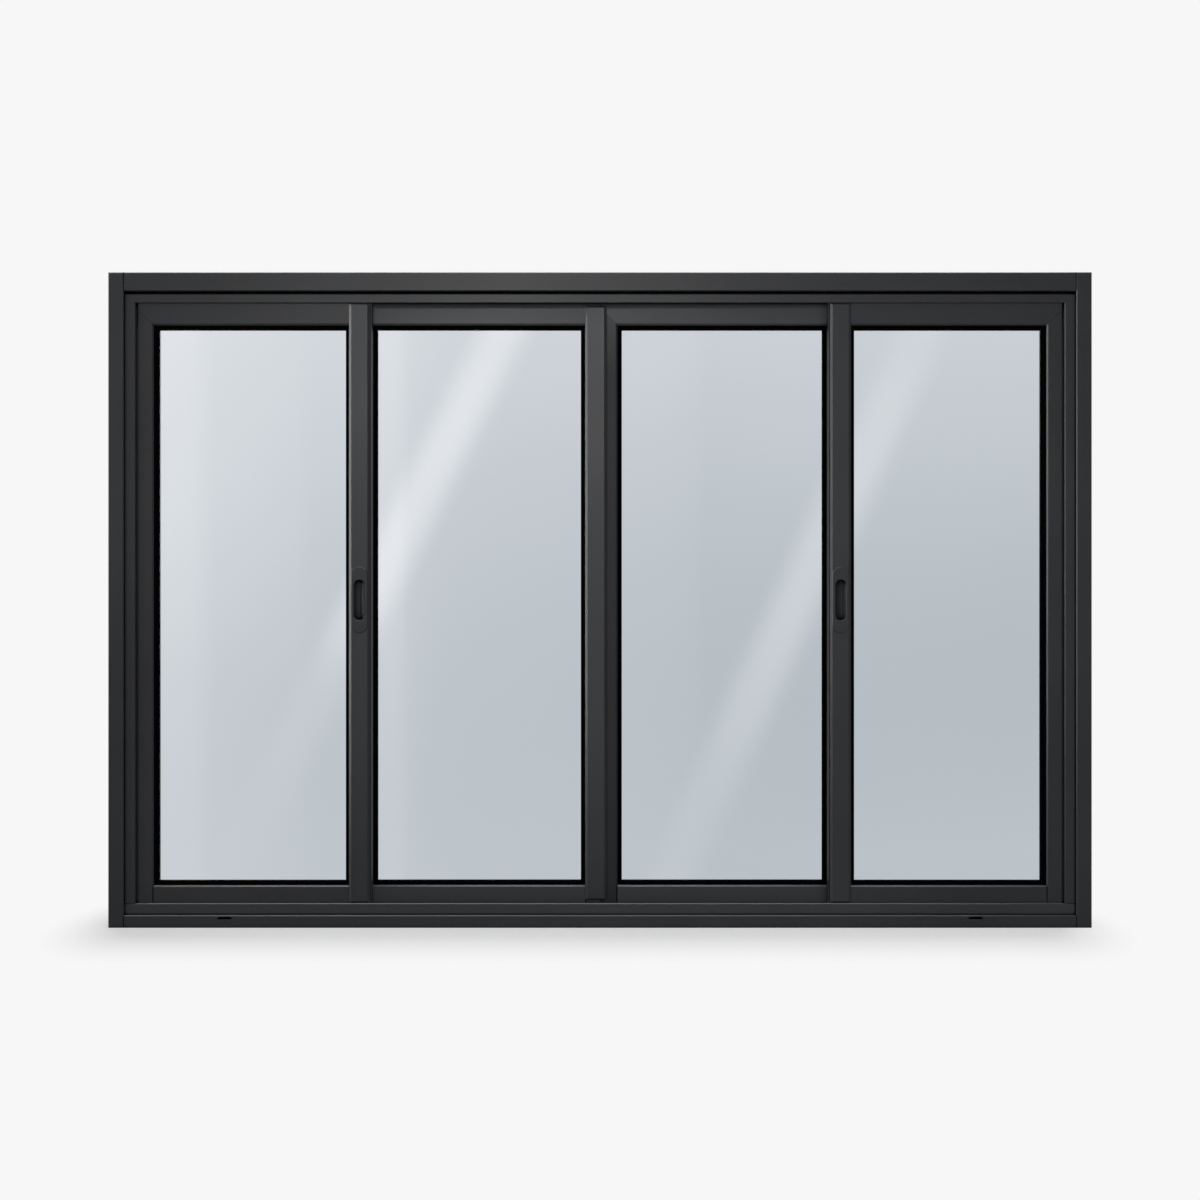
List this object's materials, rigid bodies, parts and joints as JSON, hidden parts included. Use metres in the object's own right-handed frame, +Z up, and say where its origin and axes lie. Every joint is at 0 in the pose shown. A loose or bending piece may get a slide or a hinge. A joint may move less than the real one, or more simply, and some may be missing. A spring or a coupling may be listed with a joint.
{
  "type": "horizontal sliding window",
  "caption": "Horizontal sliding window of dark powder-coated aluminium: glazed sashes in two tracks, with recessed finger pulls on the passing stiles.",
  "frame": {"origin": "centre of the sill's underside", "axes": "+X to the right seen from outdoors, -Y out through the outdoor face, +Z up"},
  "size_m": [1.8, 0.084, 1.2],
  "materials": {
    "frame_coating": "satin anthracite powder coat on aluminium extrusion",
    "sash_coating": "satin anthracite powder coat on aluminium extrusion",
    "pull_coating": "satin anthracite coat on a cast pull",
    "glazing_rubber": "matt black glazing gasket",
    "window_glass": "clear float glass with a faint cool tint",
    "roller_plastic": "black nylon wheels"
  },
  "bodies": {
    "root": {"band_head": "frame_coating", "band_left": "frame_coating", "band_right": "frame_coating", "finger_pull_left": "pull_coating", "finger_pull_right": "pull_coating", "frame_head": "frame_coating", "frame_jamb_left": "frame_coating", "frame_jamb_right": "frame_coating", "frame_sill": "frame_coating", "interlock_cover_left": "sash_coating", "interlock_cover_right": "sash_coating", "meeting_cover": "sash_coating", "sash_1_bottom_rail": "sash_coating", "sash_1_gasket": "glazing_rubber", "sash_1_glass": "window_glass", "sash_1_left_stile": "sash_coating", "sash_1_right_stile": "sash_coating", "sash_1_rollers": "roller_plastic", "sash_1_top_rail": "sash_coating", "sash_2_bottom_rail": "sash_coating", "sash_2_gasket": "glazing_rubber", "sash_2_glass": "window_glass", "sash_2_left_stile": "sash_coating", "sash_2_right_stile": "sash_coating", "sash_2_rollers": "roller_plastic", "sash_2_top_rail": "sash_coating", "sash_3_bottom_rail": "sash_coating", "sash_3_gasket": "glazing_rubber", "sash_3_glass": "window_glass", "sash_3_left_stile": "sash_coating", "sash_3_right_stile": "sash_coating", "sash_3_rollers": "roller_plastic", "sash_3_top_rail": "sash_coating", "sash_4_bottom_rail": "sash_coating", "sash_4_gasket": "glazing_rubber", "sash_4_glass": "window_glass", "sash_4_left_stile": "sash_coating", "sash_4_right_stile": "sash_coating", "sash_4_rollers": "roller_plastic", "sash_4_top_rail": "sash_coating", "sill_band": "frame_coating"}
  },
  "joints": []
}
